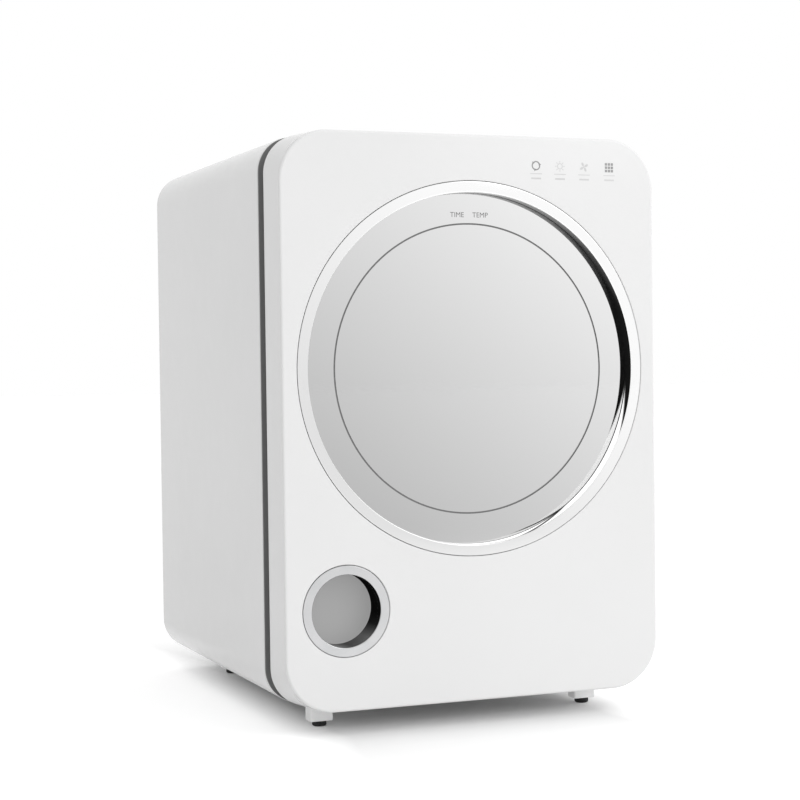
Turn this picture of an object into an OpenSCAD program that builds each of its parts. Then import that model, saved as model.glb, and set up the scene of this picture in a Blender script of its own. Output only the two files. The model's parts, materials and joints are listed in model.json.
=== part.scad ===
// Countertop steriliser and dryer cabinet: a round-cornered box with a side-hung mirror door,
// a steel chamber with two racks, two ultraviolet tubes and a warm-air fan.
// Millimetres, +Z up, front facing -Y, origin at the bottom centre under the foot pads.

/* [Cabinet] */
// Width of the cabinet and of its door
body_w = 300; // [260:1:360]
// Height of the cabinet without its feet
cabinet_h = 418; // [390:1:480]
// Depth from the door's face to the rear edge of the shell
total_d = 350; // [330:1:420]
// Outer radius of the door's corners at its face
corner_r = 38; // [32:1:50]
// Outer radius of the door's corners at its back edge
corner_back_r = 29; // [20:1:32]
// Outer radius of the shell's four long edges
shell_r = 27; // [16:1:30]
// Wall of the white outer shell
shell_wall = 2.5; // [1.5:0.1:4]
// Depth of the dark joint between door and shell
band_t = 12.5; // [12.5:0.5:20]
// How far the dark frame stands inside the shell's outline
neck_inset = 4; // [3:0.5:8]
// Wall of the dark front frame
frame_wall = 3; // [2:0.5:5]

/* [Feet] */
// Height of the cabinet above the table
foot_h = 18; // [14:1:30]
// Width of a foot block
foot_w = 18; // [12:1:24]
// Depth of a foot block
foot_d = 12; // [12:1:24]
// Distance of a front foot's middle from the side of the cabinet
foot_in = 41; // [36:1:80]
// Distance of a rear foot's middle from the side of the cabinet
rear_foot_in = 49; // [36:1:80]
// Distance of the front feet behind the shell's front edge, less than zero under the dark frame
foot_front = -7; // [-8:1:30]
// Distance of the rear feet ahead of the shell's rear edge
foot_rear = 41; // [10:1:60]
// Height of a foot pad
pad_h = 4; // [3:0.5:6]
// Radius of a foot pad
pad_r = 5.4; // [4:0.1:6]

/* [Door] */
// Thickness of the door
door_t = 37; // [34:1:50]
// Wall of the moulded door
door_wall = 3; // [2:0.5:4]
// Thickness of the panel that closes the door's back
door_liner_t = 3; // [2:0.5:4]
// Thickness of the rubber seal
seal_t = 2.2; // [1.5:0.1:2.2]
// Width of the rubber seal
seal_w = 6; // [4:0.5:6]

/* [Window] */
// Space between the bright window ring and the sides of the door
ring_side = 11.8; // [10:0.1:40]
// Space between the bright window ring and the top of the door
ring_top = 34.2; // [30:0.1:60]
// Width of the bright window ring's face
ring_face = 8.2; // [4:0.1:12]
// Depth of the mirror behind the door's face
window_recess = 9.2; // [5:0.1:14]
// Thickness of the mirror
mirror_t = 3; // [2:0.5:4]
// Distance of the fine line from the ring's outer edge
line_in = 31; // [28:0.1:60]
// Width of the fine line on the mirror
line_w = 1.2; // [0.8:0.1:2]
// How far the clear pane behind the mirror ends inside the fine line
pane_in = 1.2; // [0.6:0.1:10]

/* [Handle] */
// Distance of the finger pull's middle from the left side of the door
handle_side = 46.6; // [44:0.1:60]
// Height of the finger pull's middle above the door's lower edge
handle_rise = 72.5; // [60:0.1:76]
// Outer radius of the finger pull's ring
handle_r = 33.1; // [28:0.1:34]
// Width of the finger pull's ring
handle_face = 6.8; // [5:0.1:10]
// Depth of the finger pull
handle_depth = 21; // [10:0.5:24]

/* [Chamber] */
// Space between the chamber and the sides of the cabinet
side_space = 28; // [27:1:50]
// Space between the chamber and the top of the cabinet
head_space = 32; // [28:1:60]
// Space between the chamber and the rear edge of the shell
back_space = 72.4; // [70:0.1:100]
// Height of the chamber floor above the cabinet's underside
chamber_sill = 92; // [80:1:96]
// Radius of the chamber's corners
chamber_r = 14; // [8:1:20]
// Sheet thickness of the steel chamber
liner_t = 1.2; // [0.8:0.1:2]

/* [Racks] */
// Height of the lower rack above the chamber floor
lower_rack_z = 38; // [34:1:50]
// Height of the upper rack above the chamber floor
upper_rack_z = 176; // [150:1:200]
// Space behind the racks for the rear tube
rack_back = 34; // [32:1:60]
// Radius of a rack's frame rod
rack_frame_r = 2.2; // [1.8:0.1:3]
// Radius of a rack's cross rods
rack_rod_r = 1.4; // [1:0.1:1.7]
// Number of a rack's cross rods
rack_rods = 13; // [7:2:17]
// Free travel of the racks and the tray behind the closed door
slide_play = 16; // [8:1:18]
// Height of the drip tray
tray_h = 14; // [10:1:18]
// Wall of the drip tray
tray_wall = 1.5; // [1:0.1:2.5]

/* [Lamps and fan] */
// Radius of an ultraviolet tube
lamp_r = 8; // [6:0.5:9]
// Radius of the fan's opening
fan_r = 44; // [34:1:46]
// Height of the fan's axis above the chamber floor
fan_z = 165; // [120:1:190]
// Depth of the fan's housing
fan_d = 36; // [34:1:40]
// Radius of the fan motor's shaft
shaft_r = 2.5; // [1.5:0.1:3]
// Number of fan blades
fan_blades = 7; // [5:1:9]

/* [Hinge] */
// Radius of a hinge pin
pin_r = 2; // [1.5:0.1:2.2]
// Outer radius of a hinge knuckle
knuckle_r = 4; // [3.6:0.1:4]
// Height of a hinge
hinge_h = 40; // [30:1:60]
// Distance of a hinge from the end of the cabinet
hinge_end = 62; // [55:1:80]
// Width of a hinge leaf
leaf_w = 12; // [10:0.5:12]

/* [Rear] */
// Thickness of the rear cover
rear_t = 2.5; // [2:0.5:4]
// Width of the filter cover
filter_w = 116; // [80:1:130]
// Height of the filter cover
filter_h = 46; // [36:1:50]

/* [Fits] */
// Gap between pieces that move past each other
gap = 0.3; // [0.3:0.05:0.6]
// Gap around pieces that are set into each other
seat = 0.1; // [0.05:0.05:0.2]
// Radial play of a pin or shaft in its bore
run = 0.05; // [0.02:0.01:0.08]

/* [Hidden] */
$fn = 96;
cut = 1;
front_y = -total_d / 2;
rear_y = total_d / 2;
door_back_y = front_y + door_t;
shell_front_y = door_back_y + band_t;
base_z = foot_h;
top_z = base_z + cabinet_h;
mid_z = base_z + cabinet_h / 2;
inner_w = body_w - 2 * shell_wall;
inner_h = cabinet_h - 2 * shell_wall;
inner_r = shell_r - shell_wall;
floor_z = base_z + shell_wall;
// Feet
foot_front_y = shell_front_y + foot_front + foot_d / 2;
foot_rear_y = rear_y - foot_rear - foot_d / 2;
foot_x = body_w / 2 - foot_in;
rear_foot_x = body_w / 2 - rear_foot_in;
stem_r = 2.5;
// Front frame
frame_y = door_back_y + seal_t + gap;
frame_lap = 6;
bezel_t = 1.5;
bezel_in = 0.4;
collar_lap = 4;
frame_back_y = shell_front_y + frame_lap;
bezel_back_y = shell_front_y + bezel_t;
shell_y = bezel_back_y + seat;
plate_back_y = frame_y + frame_wall;
neck_w = body_w - 2 * neck_inset;
neck_h = cabinet_h - 2 * neck_inset;
neck_r = shell_r - neck_inset;
// Chamber
chamber_w = body_w - 2 * side_space;
chamber_h = cabinet_h - chamber_sill - head_space;
chamber_z = base_z + chamber_sill;
chamber_mid_z = chamber_z + chamber_h / 2;
chamber_top_z = chamber_z + chamber_h;
collar_back_y = shell_front_y + collar_lap;
liner_y = collar_back_y + seat;
chamber_back_y = rear_y - back_space;
liner_back_y = chamber_back_y + liner_t;
flange_w = 8;
// Window and finger pull
ring_r = body_w / 2 - ring_side;
window_z = top_z - ring_top - ring_r;
line_r = ring_r - line_in;
pane_r = line_r - pane_in;
mirror_y = front_y + window_recess;
mirror_back_y = mirror_y + mirror_t;
lip_t = 2.6;
lip_w = 14;
handle_x = body_w / 2 - handle_side;
handle_z = base_z + handle_rise;
handle_ring_t = 6;
cup_flange_t = 2;
cup_floor_t = 2.5;
cup_lip = 3;
cup_y = front_y + handle_ring_t;
cup_seat_y = cup_y + cup_flange_t;
cup_floor_y = front_y + handle_depth;
// Door back
liner_front_y = door_back_y - door_liner_t;
pane_t = 2.5;
pane_lap = 5;
reflector_t = 0.8;
seal_inset = 3;
seal_in_w = chamber_w + 2 * seal_inset;
seal_in_h = chamber_h + 2 * seal_inset;
seal_r = chamber_r + seal_inset;
// Hinge
axis_x = body_w / 2 - knuckle_r;
knuckle_gap = 1.5;
axis_y = door_back_y + knuckle_r + knuckle_gap;
leaf_t = 1.6;
leaf_sink = 0.4;
pocket_y = axis_y + knuckle_r - leaf_sink;
door_leaf_t = 2.4;
door_knuckle_h = 16;
leaf_clear = 1;
leaf_lap = 1;
hinge_lower_z = base_z + hinge_end;
hinge_upper_z = top_z - hinge_end;
pin_head = 1;
pin_head_r = pin_r + pin_head;
pin_head_t = 1.5;
// Catches
catch_in = 10;
catch_x = catch_in - body_w / 2;
catch_w = 8;
catch_h = 30;
catch_t = 1;
magnet_t = 2;
// Racks and tray
ledge_w = 8;
ledge_t = 2;
rail_t = 1.2;
rail_lead = 4;
rack_lead = 2;
rack_side = 2;
rail_y = liner_y + slide_play + rail_lead;
rack_y = rail_y + rack_lead;
rack_d = chamber_back_y - rack_back - rack_y;
rack_half = chamber_w / 2 - rail_t - rack_frame_r - rack_side;
tray_w = chamber_w - 2 * chamber_r;
tray_d = rack_d;
// Lamps
socket_rim = 3;
socket_s = 2 * (lamp_r + socket_rim);
socket_d = 14;
socket_in = 8;
lamp_half = chamber_w / 2 - socket_d + socket_in;
upper_lamp_y = rack_y + rack_d / 2;
upper_lamp_drop = 1;
rear_lamp_gap = 2;
rear_lamp_rise = 66;
upper_lamp_z = chamber_top_z - chamber_r - socket_s / 2 - upper_lamp_drop;
rear_lamp_y = chamber_back_y - socket_s / 2 - rear_lamp_gap;
rear_lamp_z = chamber_z + rear_lamp_rise;
// Fan
fan_axis_z = chamber_z + fan_z;
fan_y = liner_back_y + seat;
guard_t = 2;
housing_rim = 8;
housing_gap = 3;
heater_in = 8;
housing_s = 2 * (fan_r + housing_rim);
housing_r = fan_r + housing_gap;
heater_r = fan_r - heater_in;
heater_tube_r = 3;
heater_y = fan_y + heater_tube_r;
heater_gap = 2;
impeller_y = heater_y + heater_tube_r + heater_gap;
impeller_t = 11;
hub_r = 15;
tip_gap = 1;
tip_r = fan_r - tip_gap;
motor_r = 14;
motor_gap = 1.5;
motor_y = impeller_y + impeller_t + motor_gap;
spider_t = 3;
spider_y = fan_y + fan_d - spider_t;
// Rear
rear_recess = 1.5;
rear_cover_y = rear_y - rear_recess - rear_t;
filter_rise = 48;
filter_left = 40;
filter_z = base_z + filter_rise;
filter_x = -filter_left;
filter_proud = 0.5;
filter_frame_d = 11;
filter_frame_in = 5.5;
filter_frame_w = filter_w - 2 * filter_frame_in;
filter_frame_h = filter_h - 2 * filter_frame_in;
filter_frame_wall = 2;
filter_in_w = filter_frame_w - 2 * filter_frame_wall;
filter_in_h = filter_frame_h - 2 * filter_frame_wall;
inlet_w = 28;
inlet_h = 24;
inlet_d = 24;
inlet_x = 84;
inlet_rise = 36;
inlet_z = base_z + inlet_rise;
socket_w = 22;
socket_h = 16;
socket_deep = 16;
screw_r = 1.6;
screw_head_r = 3.4;
screw_in = 16;
screw_x = inner_w / 2 - screw_in;
screw_z = inner_h / 2 - screw_in;
boss_d = 12;
boss_rim = 6;
boss_s = screw_in + boss_rim;
standoff_h = 8;
pcb_t = 1.6;

// Flat shapes and turned helpers

// Rectangle with round corners, made of true arcs
module rounded(w, h, r) {
  difference() {
    square([w, h], center = true);
    for (sx = [-1, 1], sz = [-1, 1])
      translate([sx * (w / 2 - r), sz * (h / 2 - r)])
        difference() {
          translate([sx > 0 ? 0 : -r - cut, sz > 0 ? 0 : -r - cut]) square(r + cut);
          circle(r);
        }
  }
}

// Flat shape drawn in X and Z, carried from y0 back to y1 at height z
module along_y(y0, y1, x = 0, z = 0) {
  translate([x, y1, z]) rotate([90, 0, 0]) linear_extrude(y1 - y0) children();
}

// Round bar along Y
module bar_y(r, y0, y1, x = 0, z = 0) {
  translate([x, y0, z]) rotate([-90, 0, 0]) cylinder(h = y1 - y0, r = r);
}

// Round bar along X
module bar_x(r, x0, x1, y, z) {
  translate([x0, y, z]) rotate([0, 90, 0]) cylinder(h = x1 - x0, r = r);
}

// Washer along Y
module ring_y(r_out, r_in, y0, y1, x = 0, z = 0) {
  difference() {
    bar_y(r_out, y0, y1, x, z);
    bar_y(r_in, y0 - cut, y1 + cut, x, z);
  }
}

// Block given by two opposite corners
module block(a, b) {
  translate(a) cube(b - a);
}

// Cabinet

// Solid corner of the sleeve that takes a rear screw
module corner_boss(sx, sz) {
  boss_y = rear_cover_y - boss_d;
  intersection() {
    along_y(boss_y, rear_cover_y, 0, mid_z)
      rounded(inner_w + shell_wall, inner_h + shell_wall, inner_r + shell_wall / 2);
    translate([sx * body_w / 2, boss_y, mid_z + sz * cabinet_h / 2])
      cube([2 * (boss_s + shell_wall), 3 * boss_d, 2 * (boss_s + shell_wall)], center = true);
  }
}

module outer_shell() {
  color("#f1f1f0")
    difference() {
      union() {
        difference() {
          along_y(shell_y, rear_y, 0, mid_z) rounded(body_w, cabinet_h, shell_r);
          along_y(shell_y - cut, rear_y + cut, 0, mid_z) rounded(inner_w, inner_h, inner_r);
        }
        for (sx = [-1, 1], sz = [-1, 1]) corner_boss(sx, sz);
      }
      for (sx = [-1, 1], sz = [-1, 1])
        bar_y(screw_r + run, rear_cover_y - boss_d - cut, rear_cover_y + cut,
              sx * screw_x, mid_z + sz * screw_z);
    }
}

// Room that a hinge takes out of the front frame
module hinge_pocket(z) {
  low = z - hinge_h / 2 - gap;
  high = z + hinge_h / 2 + pin_head_t + gap;
  block([axis_x - leaf_w - gap, frame_y - cut, low], [body_w / 2, pocket_y, high]);
  translate([axis_x, axis_y, low]) cylinder(h = high - low, r = knuckle_r + gap);
}

// Solid backing for a hinge leaf
module hinge_backing(z) {
  block([axis_x - leaf_w - frame_wall, frame_y + cut, z - hinge_h / 2 - frame_wall],
        [neck_w / 2 - frame_wall / 2, frame_back_y, z + hinge_h / 2 + pin_head_t + frame_wall]);
}

module catch_pocket(z) {
  block([catch_x - catch_w / 2 - seat, frame_y - cut, z - catch_h / 2 - seat],
        [catch_x + catch_w / 2 + seat, frame_y + catch_t, z + catch_h / 2 + seat]);
}

// Lug under the frame that carries the front part of a foot
module foot_lug(sx) {
  block([sx * foot_x - foot_w / 2, foot_front_y - foot_d / 2, base_z],
        [sx * foot_x + foot_w / 2, shell_front_y + bezel_t / 2, base_z + neck_inset + frame_wall / 2]);
}

module front_frame() {
  collar_w = chamber_w + 2 * frame_wall;
  collar_h = chamber_h + 2 * frame_wall;
  collar_r = chamber_r + frame_wall;
  color("#4c4d50")
    difference() {
      union() {
        along_y(frame_y, plate_back_y, 0, mid_z) rounded(neck_w, neck_h, neck_r);
        difference() {
          along_y(frame_y, frame_back_y, 0, mid_z) rounded(neck_w, neck_h, neck_r);
          along_y(frame_y - cut, frame_back_y + cut, 0, mid_z)
            rounded(neck_w - 2 * frame_wall, neck_h - 2 * frame_wall, neck_r - frame_wall);
        }
        along_y(frame_y, collar_back_y, 0, chamber_mid_z) rounded(collar_w, collar_h, collar_r);
        along_y(shell_front_y, bezel_back_y, 0, mid_z)
          difference() {
            rounded(body_w - 2 * bezel_in, cabinet_h - 2 * bezel_in, shell_r - bezel_in);
            rounded(neck_w - 2 * frame_wall, neck_h - 2 * frame_wall, neck_r - frame_wall);
          }
        along_y(bezel_back_y - bezel_t / 2, frame_back_y, 0, mid_z)
          difference() {
            rounded(inner_w - 2 * seat, inner_h - 2 * seat, inner_r - seat);
            rounded(neck_w - 2 * frame_wall, neck_h - 2 * frame_wall, neck_r - frame_wall);
          }
        for (z = [hinge_lower_z, hinge_upper_z]) hinge_backing(z);
        if (foot_front < 0) for (sx = [-1, 1]) foot_lug(sx);
      }
      along_y(frame_y - cut, frame_back_y + cut, 0, chamber_mid_z) rounded(chamber_w, chamber_h, chamber_r);
      for (z = [hinge_lower_z, hinge_upper_z]) hinge_pocket(z);
      for (z = [hinge_lower_z, hinge_upper_z]) catch_pocket(z);
    }
}

module rear_cover() {
  cover_w = inner_w - 2 * seat;
  cover_h = inner_h - 2 * seat;
  vent_w = 120;
  vent_h = 4;
  vent_pitch = 11;
  vents = 8;
  color("#e9e9e8")
    difference() {
      along_y(rear_cover_y, rear_cover_y + rear_t, 0, mid_z) rounded(cover_w, cover_h, inner_r - seat);
      for (i = [0 : vents - 1])
        along_y(rear_cover_y - cut, rear_y, 0, fan_axis_z + (i - (vents - 1) / 2) * vent_pitch)
          square([vent_w, vent_h], center = true);
      along_y(rear_cover_y - cut, rear_y, filter_x, filter_z)
        square([filter_w, filter_h], center = true);
      along_y(rear_cover_y - cut, rear_y, inlet_x, inlet_z)
        square([inlet_w + 2 * seat, inlet_h + 2 * seat], center = true);
      for (sx = [-1, 1], sz = [-1, 1])
        bar_y(screw_r + run, rear_cover_y - cut, rear_y, sx * screw_x, mid_z + sz * screw_z);
    }
}

module rear_screw(sx, sz) {
  head_t = 1.4;
  shank = 8;
  shank_lap = 0.2;
  slot_reach = 2;
  slot_w = 1;
  slot_d = 0.6;
  color("#b9bbbd")
    translate([sx * screw_x, rear_cover_y + rear_t, mid_z + sz * screw_z]) {
      difference() {
        bar_y(screw_head_r, 0, head_t);
        for (a = [0, 90])
          rotate([0, a, 0])
            block([-slot_reach, head_t - slot_d, -slot_w / 2], [slot_reach, head_t + cut, slot_w / 2]);
      }
      bar_y(screw_r, -shank, shank_lap);
    }
}

module foot(x, y) {
  color("#b7b7b8")
    difference() {
      block([x - foot_w / 2, y - foot_d / 2, pad_h],
            [x + foot_w / 2, y + foot_d / 2, base_z]);
      translate([x, y, pad_h - cut]) cylinder(h = pad_h + cut, r = stem_r + run);
    }
}

module pad(x, y) {
  edge_r = 1.5;
  stem_gap = 0.5;
  color("#1c1c1e")
    translate([x, y, 0])
      rotate_extrude() {
        difference() {
          square([pad_r, pad_h]);
          translate([pad_r - edge_r, 0]) difference() {
            translate([0, -cut]) square(edge_r + cut);
            translate([0, edge_r]) circle(edge_r);
          }
        }
        square([stem_r, 2 * pad_h - stem_gap]);
      }
}

// Chamber

module chamber_liner() {
  color("#c9cccf")
    difference() {
      union() {
        along_y(liner_y, chamber_back_y, 0, chamber_mid_z)
          rounded(chamber_w + 2 * liner_t, chamber_h + 2 * liner_t, chamber_r + liner_t);
        along_y(liner_y, liner_y + liner_t, 0, chamber_mid_z)
          rounded(chamber_w + 2 * flange_w, chamber_h + 2 * flange_w, chamber_r + flange_w);
      }
      along_y(liner_y - cut, chamber_back_y + cut, 0, chamber_mid_z)
        rounded(chamber_w, chamber_h, chamber_r);
    }
}

module chamber_back() {
  color("#c9cccf")
    difference() {
      along_y(chamber_back_y, liner_back_y, 0, chamber_mid_z)
        rounded(chamber_w + 2 * liner_t, chamber_h + 2 * liner_t, chamber_r + liner_t);
      bar_y(fan_r, chamber_back_y - cut, liner_back_y + cut, 0, fan_axis_z);
    }
}

// Side rail with one ledge for each rack
module rail(sx) {
  wall_x = sx * chamber_w / 2;
  in_x = sx * (chamber_w / 2 - rail_t);
  ledge_x = sx * (chamber_w / 2 - ledge_w);
  low_z = chamber_z + lower_rack_z;
  high_z = chamber_z + upper_rack_z;
  rail_top = 10;
  color("#d3d6d8") {
    block([min(wall_x, in_x), rail_y, low_z - ledge_t],
          [max(wall_x, in_x), rail_y + rack_d, high_z + rail_top]);
    for (z = [low_z, high_z])
      block([min(wall_x, ledge_x), rail_y, z - ledge_t], [max(wall_x, ledge_x), rail_y + rack_d, z]);
  }
}

// Wire shelf: a closed frame rod with thinner rods laid across it
module rack(z) {
  axis_z = z + gap + rack_frame_r;
  rod_z = axis_z + rack_frame_r;
  y0 = rack_y + rack_frame_r;
  y1 = rack_y + rack_d - rack_frame_r;
  bend_r = 9;
  pitch = 2 * (rack_half - bend_r) / (rack_rods - 1);
  color("#d6d9db") {
    for (sx = [-1, 1]) {
      bar_y(rack_frame_r, y0 + bend_r, y1 - bend_r, sx * rack_half, axis_z);
      for (end = [-1, 1])
        translate([sx * (rack_half - bend_r), end < 0 ? y0 + bend_r : y1 - bend_r, axis_z])
          rotate([0, 0, sx > 0 ? (end > 0 ? 0 : 270) : (end > 0 ? 90 : 180)])
            rotate_extrude(angle = 90) translate([bend_r, 0]) circle(rack_frame_r);
    }
    for (y = [y0, y1]) bar_x(rack_frame_r, -rack_half + bend_r, rack_half - bend_r, y, axis_z);
    for (i = [0 : rack_rods - 1])
      bar_y(rack_rod_r, y0 - rack_rod_r, y1 + rack_rod_r, (i - (rack_rods - 1) / 2) * pitch, rod_z);
  }
}

module drip_tray() {
  z = chamber_z + gap;
  corner = 10;
  tray_mid_y = rack_y + tray_d / 2;
  color("#e6e8e9")
    difference() {
      translate([0, tray_mid_y, z]) linear_extrude(tray_h) rounded(tray_w, tray_d, corner);
      translate([0, tray_mid_y, z + tray_wall]) linear_extrude(tray_h)
        rounded(tray_w - 2 * tray_wall, tray_d - 2 * tray_wall, corner - tray_wall);
    }
}

module lamp_tube(y, z) {
  color("#eef4f6") bar_x(lamp_r, -lamp_half, lamp_half, y, z);
}

module lamp_socket(sx, y, z) {
  wall_x = sx * chamber_w / 2;
  front_x = sx * (chamber_w / 2 - socket_d);
  bore_x = sx * (chamber_w / 2 - socket_d - cut);
  seat_x = sx * (lamp_half + seat);
  color("#f4f4f2")
    difference() {
      block([min(wall_x, front_x), y - socket_s / 2, z - socket_s / 2],
            [max(wall_x, front_x), y + socket_s / 2, z + socket_s / 2]);
      bar_x(lamp_r + run, min(bore_x, seat_x), max(bore_x, seat_x), y, z);
    }
}

// Warm-air fan

module fan_guard() {
  y0 = chamber_back_y - guard_t;
  wire = 2;
  rings = 3;
  ring_step = 10;
  rim_out = 4;
  rim_in = 2;
  spoke_in = 0.3;
  color("#cfd2d4") {
    ring_y(fan_r + rim_out, fan_r - rim_in, y0, chamber_back_y, 0, fan_axis_z);
    for (i = [1 : rings])
      ring_y(fan_r - rim_in - i * ring_step + wire / 2, fan_r - rim_in - i * ring_step - wire / 2,
             y0, chamber_back_y, 0, fan_axis_z);
    for (a = [0, 60, 120])
      translate([0, 0, fan_axis_z]) rotate([0, a, 0])
        block([-fan_r, y0 + spoke_in, -wire / 2], [fan_r, chamber_back_y - spoke_in, wire / 2]);
  }
}

module fan_housing() {
  housing_corner = 8;
  arm_w = 6;
  arm_lap = 2;
  motor_rim = 2;
  color("#2f3033") {
    difference() {
      along_y(fan_y, fan_y + fan_d, 0, fan_axis_z) rounded(housing_s, housing_s, housing_corner);
      bar_y(housing_r, fan_y - cut, fan_y + fan_d + cut, 0, fan_axis_z);
    }
    for (a = [0, 90])
      translate([0, 0, fan_axis_z]) rotate([0, a, 0])
        block([-housing_r - arm_lap, spider_y, -arm_w / 2],
              [housing_r + arm_lap, spider_y + spider_t, arm_w / 2]);
    bar_y(motor_r + motor_rim, spider_y, spider_y + spider_t, 0, fan_axis_z);
  }
}

module fan_motor() {
  shaft_lap = 1;
  color("#8d9093") {
    bar_y(motor_r, motor_y, spider_y, 0, fan_axis_z);
    bar_y(shaft_r, impeller_y - shaft_lap, motor_y + shaft_lap, 0, fan_axis_z);
  }
}

module heater_ring() {
  stud_r = 2;
  stud_lap = 1;
  color("#a7aaad")
    translate([0, heater_y, fan_axis_z]) rotate([90, 0, 0]) {
      rotate_extrude() translate([heater_r, 0]) circle(heater_tube_r);
      for (a = [90, 210, 330])
        rotate([0, 0, a]) translate([heater_r + stud_lap, 0, 0]) rotate([0, 90, 0])
          cylinder(h = housing_r - heater_r - stud_lap - seat, r = stud_r);
    }
}

module fan_impeller() {
  blade_t = 1.8;
  blade_pitch = 32;
  blade_lap = 2;
  blade_in = hub_r - blade_lap;
  edge_in = 0.5;
  color("#55585b")
    difference() {
      union() {
        bar_y(hub_r, impeller_y, impeller_y + impeller_t, 0, fan_axis_z);
        intersection() {
          for (i = [0 : fan_blades - 1])
            translate([0, impeller_y + impeller_t / 2, fan_axis_z])
              rotate([0, i * 360 / fan_blades, 0]) rotate([blade_pitch, 0, 0])
                block([blade_in, -blade_t / 2, -impeller_t], [fan_r, blade_t / 2, impeller_t]);
          ring_y(tip_r, blade_in, impeller_y + edge_in, impeller_y + impeller_t - edge_in, 0, fan_axis_z);
        }
      }
      bar_y(shaft_r + run, impeller_y - cut, impeller_y + impeller_t + cut, 0, fan_axis_z);
    }
}

// Electrical parts

module power_board() {
  board_w = 110;
  board_d = 90;
  board_in = 36;
  stud_r = 3;
  stud_in = 6;
  stud_lap = 0.5;
  coil_w = 32;
  coil_d = 28;
  coil_h = 24;
  coil_in = 20;
  can_r = 7;
  can_h = 20;
  can_in = 22;
  can_back = 30;
  can_pitch = 18;
  x0 = board_in - inner_w / 2;
  x1 = x0 + board_w;
  y0 = -board_d / 2;
  z0 = floor_z + standoff_h;
  color("#2f6b4a") {
    block([x0, y0, z0], [x1, y0 + board_d, z0 + pcb_t]);
    for (x = [x0 + stud_in, x1 - stud_in], y = [y0 + stud_in, y0 + board_d - stud_in])
      translate([x, y, floor_z]) cylinder(h = standoff_h + stud_lap, r = stud_r);
    block([x0 + coil_in, y0 + coil_in, z0 + pcb_t / 2],
          [x0 + coil_in + coil_w, y0 + coil_in + coil_d, z0 + coil_h]);
    for (i = [0, 1])
      translate([x1 - can_in - i * can_pitch, y0 + board_d - can_back, z0 + pcb_t / 2])
        cylinder(h = can_h, r = can_r);
  }
}

module lamp_ballast() {
  ballast_w = 46;
  ballast_d = 96;
  ballast_h = 26;
  ballast_in = 40;
  x1 = inner_w / 2 - ballast_in;
  color("#cfcfcb")
    block([x1 - ballast_w, -ballast_d / 2, floor_z], [x1, ballast_d / 2, floor_z + ballast_h]);
}

module power_inlet() {
  inlet_proud = 0.8;
  y1 = rear_cover_y + rear_t + inlet_proud;
  y0 = y1 - inlet_d;
  blade_l = 9;
  blade_w = 2;
  blade_h = 4;
  blade_root = 2;
  side_x = 7;
  side_drop = 2;
  earth_rise = 3;
  color("#26272a")
    difference() {
      block([inlet_x - inlet_w / 2, y0, inlet_z - inlet_h / 2],
            [inlet_x + inlet_w / 2, y1, inlet_z + inlet_h / 2]);
      block([inlet_x - socket_w / 2, y1 - socket_deep, inlet_z - socket_h / 2],
            [inlet_x + socket_w / 2, y1 + cut, inlet_z + socket_h / 2]);
    }
  color("#b9bbbd")
    for (p = [[-side_x, -side_drop], [0, earth_rise], [side_x, -side_drop]])
      translate([inlet_x + p[0], y1 - socket_deep, inlet_z + p[1]])
        block([-blade_w / 2, -blade_root, -blade_h / 2], [blade_w / 2, blade_l, blade_h / 2]);
}

module filter_cover() {
  slots = 7;
  slot_w = 4;
  slot_pitch = 12;
  slot_end = 2;
  frame_sink = 1;
  y0 = rear_cover_y - filter_proud;
  y1 = rear_cover_y + rear_t + filter_proud;
  color("#dededd")
    difference() {
      union() {
        along_y(y0, y1, filter_x, filter_z)
          square([filter_w - 2 * gap, filter_h - 2 * gap], center = true);
        along_y(y0 - filter_frame_d, y1 - frame_sink, filter_x, filter_z)
          square([filter_frame_w, filter_frame_h], center = true);
      }
      along_y(y0 - filter_frame_d - cut, y0, filter_x, filter_z)
        square([filter_in_w, filter_in_h], center = true);
      for (i = [0 : slots - 1])
        along_y(y0 - cut, y1 + cut, filter_x + (i - (slots - 1) / 2) * slot_pitch, filter_z)
          square([slot_w, filter_in_h - 2 * slot_end], center = true);
    }
}

module air_filter() {
  filter_short = 2;
  y1 = rear_cover_y - filter_proud;
  color("#9ea2a4")
    along_y(y1 - filter_frame_d + filter_short, y1, filter_x, filter_z)
      square([filter_in_w - 2 * seat, filter_in_h - 2 * seat], center = true);
}

// Hinge: two body knuckles, one door knuckle between them, and a pin

module knuckle(z0, z1) {
  translate([axis_x, axis_y, z0]) cylinder(h = z1 - z0, r = knuckle_r);
}

module pin_bore(z) {
  translate([axis_x, axis_y, z - hinge_h]) cylinder(h = 2 * hinge_h, r = pin_r + run);
}

module body_leaf(z) {
  half = hinge_h / 2;
  mid = door_knuckle_h / 2 + gap;
  color("#b4b7ba")
    difference() {
      union() {
        block([axis_x - leaf_w, pocket_y - leaf_t, z - half],
              [axis_x - knuckle_r - leaf_clear, pocket_y, z + half]);
        for (s = [[-half, -mid], [mid, half]]) {
          knuckle(z + s[0], z + s[1]);
          block([axis_x - leaf_w + leaf_lap, pocket_y - leaf_t, z + s[0]], [axis_x, pocket_y, z + s[1]]);
        }
      }
      pin_bore(z);
    }
}

module door_leaf(z) {
  half = hinge_h / 2;
  mid = door_knuckle_h / 2;
  y1 = door_back_y + door_leaf_t;
  color("#b4b7ba")
    difference() {
      union() {
        block([axis_x - leaf_w, door_back_y, z - half],
              [axis_x - knuckle_r - leaf_clear, y1, z + half]);
        knuckle(z - mid, z + mid);
        block([axis_x - leaf_w + leaf_lap, door_back_y, z - mid], [axis_x, y1, z + mid]);
      }
      pin_bore(z);
    }
}

module hinge_pin(z) {
  head_lap = 0.5;
  color("#9a9da0")
    translate([axis_x, axis_y, z]) {
      translate([0, 0, -hinge_h / 2]) cylinder(h = hinge_h + head_lap, r = pin_r);
      translate([0, 0, hinge_h / 2]) cylinder(h = pin_head_t - gap, r = pin_head_r);
    }
}

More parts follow.
